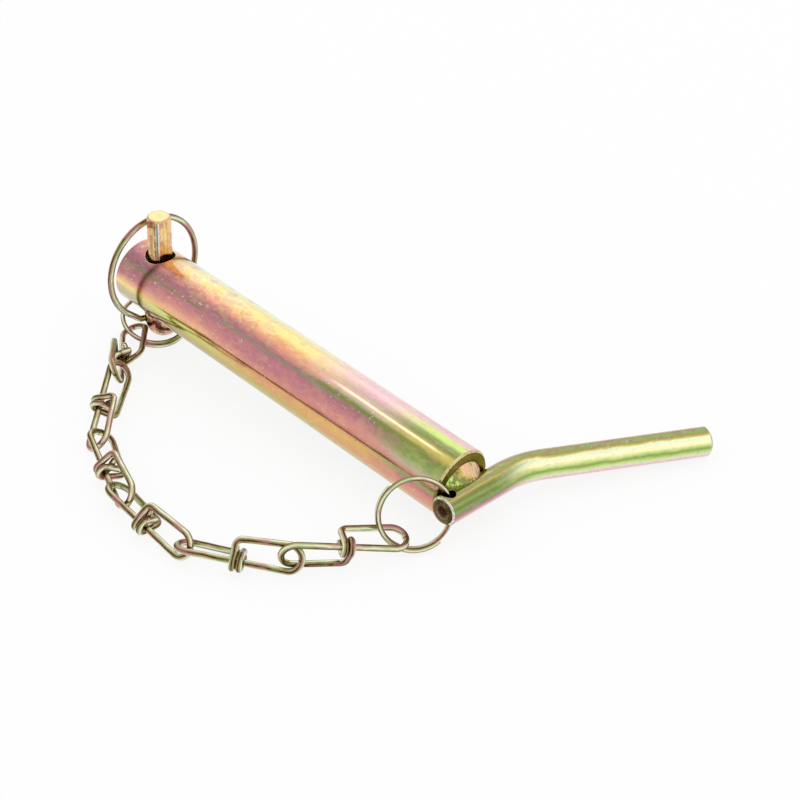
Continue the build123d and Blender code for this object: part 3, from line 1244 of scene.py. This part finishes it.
        ends = (
            EndCut(-self.bar_short * MM, -1.0, self.short_chamfer * MM, Film.SILVER, face),
            EndCut(far_end * MM, 1.0, self.grip_chamfer * MM, Film.SAND, face),
        )
        hole_at = (self.ring_hole_in - self.bar_short) * MM
        hole_turn = radians(self.ring_hole_turn)
        # Painted shade on the wall of the ring hole.
        bore = Bore((hole_at, 0, 0), (0, -sin(hole_turn), cos(hole_turn)), self.ring_hole * MM, Film.SHADE)
        return BarFinish(
            "handle_plating_and_painted_light",
            (Station(0.006, short), Station(0.034, grip)),
            ends=ends,
            bores=(bore,),
            waver=0.04,
            patches=0.01,
            patchy_round=(0.43, 0.49),
            patchy_along=(0.95, 1.05),
            mottle=0.5,
            speckle=0.08,
            blemish=Film.MAUVE,
            bloom=Film.GREEN,
            scuffs=0.4,
            spotted=Grain(336.0, 480.0, 4.0),
        )

    def handle_runs(self) -> tuple[Run, Run]:
        """Finds the handle's straight runs.

        Returns:
            The short side's run and the grip's.
        """
        along, up, middle = self.bar_axes()
        lean, bend = radians(self.bend_lean), radians(self.bend)
        out = Vector((1, 0, 0)) * cos(lean) + up * sin(lean)
        ahead = along * cos(bend) + out * sin(bend)
        to_corner = self.bar_straight + self.bend_radius * tan(bend / 2)
        runs = []
        for start, direction, way in ((middle, along, 0.0), (middle + along * to_corner, ahead, to_corner)):
            across = up.cross(direction).normalized()
            turn = self.lie.pin_axes @ Matrix((direction, across, direction.cross(across))).transposed()
            runs.append(Run(self.lie.on_pin(*start), turn, way * MM))
        return runs[0], runs[1]

    def build(self) -> None:
        """Dresses the pin, its handle and the welds."""
        pin_run = Run(self.lie.end_face, self.lie.pin_axes)
        dress("pin_body", self.pin_finish().material(PIN_RADIUS * MM, pin_run))
        dress("handle", self.handle_finish().material(self.bar_radius * MM, *self.handle_runs()))
        weld = WeldFinish("weld_bead").material(pin_run)
        dress("weld_upper", weld)
        dress("weld_lower", weld)


@dataclass
class LinchPin:
    """The linch pin with its snap ring, in the pin's own frame; sizes in millimetres."""

    lie: Lie
    bench: WireBench
    shaft_radius: float = 4.9
    top: float = 32.3
    chamfer: float = 0.8
    wire: float = 2.6
    radius: float = 22.0
    centre: float = 19.2
    pivot_below: float = 4.9
    hole_back: float = 3.0
    slope: float = 0.3  # fall of the snap ring's legs for each millimetre across the head
    leg_in: float = 2.2
    near_corner: float = 9.5
    far_corner: float = 13.0
    bend: float = 3.5
    rest_gap: float = 0.3
    arc_steps: int = 150

    def _touch(self, corner_across: float, side: float) -> tuple[Span, Span]:
        """Finds one of the snap ring's legs, in the ring's own plane.

        Args:
            corner_across: How far across the head its corner lies.
            side: -1 on the near side and 1 on the far side.

        Returns:
            The leg's corner on the cross-hole's line, and where its straight part meets the arc.
        """
        corner = (side * corner_across, -side * corner_across * self.slope)
        dx, dy = -corner[0], self.pivot_below + self.centre - corner[1]
        distance = hypot(dx, dy)
        run = sqrt(distance**2 - self.radius**2)
        turn = -side * asin(self.radius / distance)
        ux = (dx * cos(turn) - dy * sin(turn)) / distance
        uy = (dx * sin(turn) + dy * cos(turn)) / distance
        return corner, (corner[0] + ux * run, corner[1] + uy * run)

    def ring_path(self) -> tuple[list[Vector], list[float]]:
        """Lays out the snap ring's wire.

        Returns:
            Corners of its centre line in the pin's frame, and the bend radius at each inner one.
        """
        rise = self.pivot_below + self.centre
        stand_off = self.shaft_radius + self.wire / 2 + self.rest_gap - self.hole_back
        lean = asin(stand_off / (rise + self.radius))
        up = Vector((-sin(lean), 0, cos(lean)))
        near_corner, near = self._touch(self.near_corner, -1)
        far_corner, far = self._touch(self.far_corner, 1)
        first = atan2(near[1] - rise, near[0])
        sweep = (atan2(far[1] - rise, far[0]) - first) % (2 * pi) - 2 * pi
        angles = [first + sweep * i / self.arc_steps for i in range(self.arc_steps + 1)]
        arc = [(self.radius * cos(angle), rise + self.radius * sin(angle)) for angle in angles]
        near_tip = (-self.leg_in, self.leg_in * self.slope)
        far_tip = (self.leg_in, -self.leg_in * self.slope)
        pivot = Vector((LINCH_AT - self.hole_back, 0, -PIN_RADIUS - self.pivot_below))
        flat = (near_tip, near_corner, *arc, far_corner, far_tip)
        points = [pivot + Vector((0, across, 0)) + up * above for across, above in flat]
        return points, [self.bend, *[0.0] * len(arc), self.bend]

    def finish(self) -> BarFinish:
        """Sets out the colours of the linch pin: film colours with a painted highlight near its top.

        Returns:
            Its finish, from its head to its end.
        """
        head = (
            (0.0, Film.CORAL), (0.08, Film.ROSE), (0.14, Film.BROWN), (0.2, Film.CORAL), (0.27, Film.BROWN),
            (0.4, Film.ROSE), (0.6, Film.BROWN), (0.8, Film.CORAL), (1.0, Film.CORAL),
        )
        low = (
            (0.0, Film.AMBER), (0.06, Film.CORAL), (0.1, Film.BROWN), (0.125, Film.AMBER),
            (0.16, Film.BROWN), (0.21, Film.AMBER), (0.3, Film.CORAL), (0.5, Film.GOLD), (0.7, Film.AMBER),
            (0.9, Film.CORAL), (1.0, Film.AMBER),
        )
        # The narrow silver bands from 0.106 to 0.143 are a painted highlight down the shaft.
        top = (
            (0.0, Film.STRAW), (0.03, Film.HONEY), (0.07, Film.PEACH), (0.098, Film.CORAL),
            (0.106, Film.SILVER), (0.125, Film.SILVER), (0.135, Film.BROWN), (0.143, Film.SILVER),
            (0.155, Film.SAND), (0.168, Film.BROWN), (0.19, Film.HONEY), (0.24, Film.OLIVE),
            (0.31, Film.PEACH), (0.5, Film.GOLD), (0.7, Film.PINK), (0.88, Film.CORAL), (0.93, Film.PEACH),
            (0.97, Film.HONEY), (1.0, Film.STRAW),
        )
        flat_top = ((0.0, Film.STRAW), (0.55, Film.CREAM), (0.8, Film.STRAW), (1.0, Film.PEACH))
        return BarFinish(
            "linch_plating_and_painted_light",
            (Station(-0.016, head), Station(-0.0135, low), Station(0.0105, low), Station(0.019, top)),
            ends=(EndCut(self.top * MM, 1.0, self.chamfer * MM, Film.PEACH, flat_top),),
            waver=0.02,
            patches=0.0,
            patchy_round=(0.0, 0.06),
            patchy_along=(0.95, 1.05),
            mottle=0.5,
            speckle=0.08,
            blemish=Film.ROSE,
            scuffs=0.5,
            spotted=Grain(294.0, 420.0, 4.0),
        )

    def build(self, spring: bpy.types.Material) -> None:
        """Dresses the linch pin and bends its snap ring.

        Args:
            spring: The snap ring's finish.
        """
        upright = self.lie.pin_axes @ Matrix.Rotation(radians(-90), 3, "Y")
        shaft = Run(self.lie.on_pin(LINCH_AT, 0, 0), upright)
        dress("linch_pin", self.finish().material(self.shaft_radius * MM, shaft))
        points, bends = self.ring_path()
        place = Matrix.Translation(self.lie.end_face) @ self.lie.pin_axes.to_4x4()
        ring = self.bench.bend("snap_ring", points, bends, self.wire, place, spring)
        stand_for(ring, "linch_ring", "linch_ring")


@dataclass
class SplitRings:
    """The two split rings that join the chain to the handle and to the linch pin.

    Sizes are in millimetres and turns in degrees.
    """

    lie: Lie
    bench: WireBench
    pin: HitchPin
    wire: float = 1.9
    outside: float = 28.7
    gap: float = 0.05
    turn: float = 540.0
    crossing: float = 50.0
    handle_swing: float = 145.6
    handle_slant: float = -10.1
    handle_start: float = 35.0
    linch_middle: Point = (-172.59, -2.30, 6.67)  # from the floor below the pin's end face
    linch_axis: Point = (0.3467, -0.0800, 0.9346)
    linch_across: Point = (0.714, 0.700, 0.0)
    linch_start: float = 160.0

    @property
    def radius(self) -> float:
        """Radius of the wire's centre line."""
        return (self.outside - self.wire) / 2

    @property
    def level(self) -> float:
        """Height of each level of wire from the ring's middle."""
        return (self.wire + self.gap) / 2

    def handle_frame(self) -> Matrix:
        """Hangs a ring in the handle's hole.

        Returns:
            The ring's frame, with Z along its axis.
        """
        hole, hole_axis = self.pin.ring_hole_place()
        up = (self.lie.pin_axes @ hole_axis).normalized()
        across = up.cross(Vector((1, 0, 0))).normalized()
        swing, slant = radians(self.handle_swing), radians(self.handle_slant)
        outward = across * cos(swing) + up.cross(across) * sin(swing)
        axis = up.cross(outward) * cos(slant) - up * sin(slant)
        bow = self.radius - sqrt(self.radius**2 - self.pin.bar_radius**2)
        middle = self.lie.on_pin(*hole) + outward * (self.radius - bow / 2) * MM + axis * self.level * MM
        return self._frame(middle, -outward, axis)

    @staticmethod
    def _frame(middle: Vector, across: Vector, axis: Vector) -> Matrix:
        """Makes a ring's frame.

        Args:
            middle: The ring's middle.
            across: A direction near its X.
            axis: Its Z.

        Returns:
            The frame.
        """
        axis = axis.normalized()
        across = (across - axis * across.dot(axis)).normalized()
        turn = Matrix((across, axis.cross(across), axis)).transposed().to_4x4()
        return Matrix.Translation(middle) @ turn

    def build(self, finish: bpy.types.Material) -> None:
        """Winds both rings.

        Args:
            finish: Their finish.
        """
        linch_middle = self.lie.on_floor(*self.linch_middle)
        linch_frame = self._frame(linch_middle, Vector(self.linch_across), Vector(self.linch_axis))
        jobs = (("handle", self.handle_frame(), self.handle_start), ("linch", linch_frame, self.linch_start))
        for end, place, start in jobs:
            name = f"{end}_split_ring"
            sizes = (self.wire, self.radius, self.level, self.turn, start, self.crossing)
            stand_for(self.bench.coil(name + "_wire", *sizes, place, finish), name, name)


@dataclass(frozen=True)
class LinkPlace:
    """Where a link lies: millimetres from the floor's origin, and its heading, rise and roll in degrees."""

    x: float
    y: float
    z: float
    heading: float
    rise: float
    roll: float

    def frame(self, lie: Lie) -> Matrix:
        """Makes the link's frame.

        Args:
            lie: How the set lies.

        Returns:
            The frame, with X along the link.
        """
        heading = Matrix.Rotation(radians(self.heading), 4, "Z")
        rise = Matrix.Rotation(radians(-self.rise), 4, "Y")
        roll = Matrix.Rotation(radians(self.roll), 4, "X")
        return Matrix.Translation(lie.on_floor(self.x, self.y, self.z)) @ heading @ rise @ roll


@dataclass
class Chain:
    """Six knotted wire links; sizes in millimetres."""

    lie: Lie
    bench: WireBench
    wire: float = 2.5
    width: float = 10.4
    knot_width: float = 8.4
    reach: float = 22.6
    wrap_gap: float = 0.05
    pitch_gap: float = 0.1
    corner: float = 2.6
    tail: float = 5.0
    bow_share: float = 0.999  # of the largest bend that fits between a bow's corners
    places: tuple[LinkPlace, ...] = (
        LinkPlace(-8.47, -49.28, 9.66, 56.3, -12.7, 9.1),
        LinkPlace(-34.60, -77.89, 4.80, 35.0, -6.5, 67.6),
        LinkPlace(-73.69, -88.55, 5.18, 0.3, -12.3, 64.4),
        LinkPlace(-107.32, -79.60, 6.30, -21.9, -8.4, 57.6),
        LinkPlace(-139.80, -56.31, 7.65, -53.0, -18.1, 38.3),
        LinkPlace(-161.96, -28.29, 5.19, -38.8, 5.3, 107.0),
    )

    def link_path(self) -> tuple[list[Vector], list[float]]:
        """Lays out a link's wire: two loops at right angles, each hooked on their common core.

        Returns:
            Corners of its centre line, and the bend radius at each inner one.
        """
        wrap = self.wire + self.wrap_gap
        side = (self.wire + self.pitch_gap) / 2
        touch = acos(wrap / self.knot_width)
        hook_top = (wrap + wrap * cos(touch)) / sin(touch)
        first = [
            (-side, self.tail, -wrap),
            (-side, -wrap, -wrap),
            (-side, -wrap, hook_top),
            (-side, self.knot_width, 0),
            (self.reach, self.width, 0),
            (self.reach, 0, 0),
        ]
        second = [(-x, -z, -y) for x, y, z in reversed(first)]
        taper = atan2(self.width - self.knot_width, self.reach + side)
        bow = self.width / (1 + tan((pi / 2 + taper) / 2)) * self.bow_share
        bends = [wrap, wrap, self.corner, bow, bow]
        return [Vector(p) for p in first + second], bends + bends[::-1]

    def build(self, finish: bpy.types.Material) -> None:
        """Bends the six links.

        Args:
            finish: Their finish.
        """
        points, bends = self.link_path()
        for number, place in enumerate(self.places, start=1):
            node = f"chain_link_{number}"
            link = self.bench.bend(f"link_{number}", points, bends, self.wire, place.frame(self.lie), finish)
            stand_for(link, node, node)


# ---------------------------------------------------------------- studio
@dataclass(frozen=True)
class Lamp:
    """A soft square lamp that faces the origin: its place and side in metres, and its watts."""

    name: str
    spot: Point
    side: float
    power: float


@dataclass
class Studio:
    """Pale floor, soft lamps, plain white room and the camera."""

    spot: Point = (0.3952, -0.3650, 0.4107)
    tilt: float = 53.66
    heading: float = 44.42
    lens: float = 78.03
    sensor: float = 36.0
    floor_reach: float = 6.0
    floor_colour: Point = (0.9, 0.9, 0.9)
    floor_glow: float = 0.86
    lamps: tuple[Lamp, ...] = (
        Lamp("key", (-0.6, 0.9, 1.3), 2.05, 2.4),
        Lamp("fill", (1.2, 0.5, 1.0), 1.25, 0.9),
    )

    def floor(self) -> None:
        """Lays a plain pale floor that keeps the shadow."""
        reach = self.floor_reach
        mesh = bpy.data.meshes.new("floor")
        corners = [(-reach, -reach, 0), (reach, -reach, 0), (reach, reach, 0), (-reach, reach, 0)]
        mesh.from_pydata(corners, [], [(0, 1, 2, 3)])
        floor = bpy.data.objects.new("floor", mesh)
        bpy.context.scene.collection.objects.link(floor)
        board = Board(bpy.data.materials.new("floor_sheet"))
        bare = board.node("ShaderNodeBsdfDiffuse", values={"Color": (*self.floor_colour, 1.0)})[0]
        glow = board.node("ShaderNodeEmission", values={"Color": (1, 1, 1, 1), "Strength": 1.0})[0]
        values = {0: self._seen(board) * self.floor_glow, 1: bare, 2: glow}
        both = board.node("ShaderNodeMixShader", values=values)[0]
        board.node("ShaderNodeOutputMaterial", values={"Surface": both})
        mesh.materials.append(board.owner)

    @staticmethod
    def _seen(board: Board) -> Wire:
        """Tells what looks at a surface.

        Args:
            board: The surface's board.

        Returns:
            1 for the camera, a reflection or glass, else 0.
        """
        camera_ray, glossy_ray, transmission_ray = 0, 3, 6
        rays = board.node("ShaderNodeLightPath")
        return (rays[camera_ray] + rays[glossy_ray] + rays[transmission_ray]) > 0.5

    def room(self) -> None:
        """Gives the room its plain white light."""
        world = bpy.data.worlds.new("room")
        board = Board(world)
        back = board.node("ShaderNodeBackground", values={"Color": (1, 1, 1, 1), "Strength": 1.0})[0]
        board.node("ShaderNodeOutputWorld", values={"Surface": back})
        bpy.context.scene.world = world

    @staticmethod
    def hang(lamp: Lamp) -> None:
        """Hangs one lamp.

        Args:
            lamp: The lamp.
        """
        light = bpy.data.lights.new(lamp.name, "AREA")
        light.shape = "SQUARE"
        light.size = lamp.side
        light.energy = lamp.power
        made = bpy.data.objects.new(lamp.name, light)
        made.location = lamp.spot
        made.rotation_euler = Vector(lamp.spot).to_track_quat("Z", "Y").to_euler()
        bpy.context.scene.collection.objects.link(made)

    def camera(self) -> None:
        """Sets the camera."""
        data = bpy.data.cameras.new("camera")
        data.lens = self.lens
        data.sensor_width = self.sensor
        made = bpy.data.objects.new("camera", data)
        made.location = self.spot
        made.rotation_euler = (radians(self.tilt), 0, radians(self.heading))
        bpy.context.scene.collection.objects.link(made)
        bpy.context.scene.camera = made

    def build(self) -> None:
        """Sets up the camera, the floor, the room and its lamps."""
        self.camera()
        self.floor()
        self.room()
        for lamp in self.lamps:
            self.hang(lamp)
        bpy.context.scene.view_settings.view_transform = "Standard"


def main() -> None:
    """Builds every piece in order."""
    logging.basicConfig(level=logging.INFO, format="%(name)s: %(message)s")
    Studio().build()
    lie = Lie()
    bench = WireBench()
    pin = HitchPin(lie)
    pin.build()
    wire = WireFinish("wire_plating").material()
    LinchPin(lie, bench).build(wire)
    SplitRings(lie, bench, pin).build(wire)
    Chain(lie, bench).build(wire)


if __name__ == "__main__":
    main()
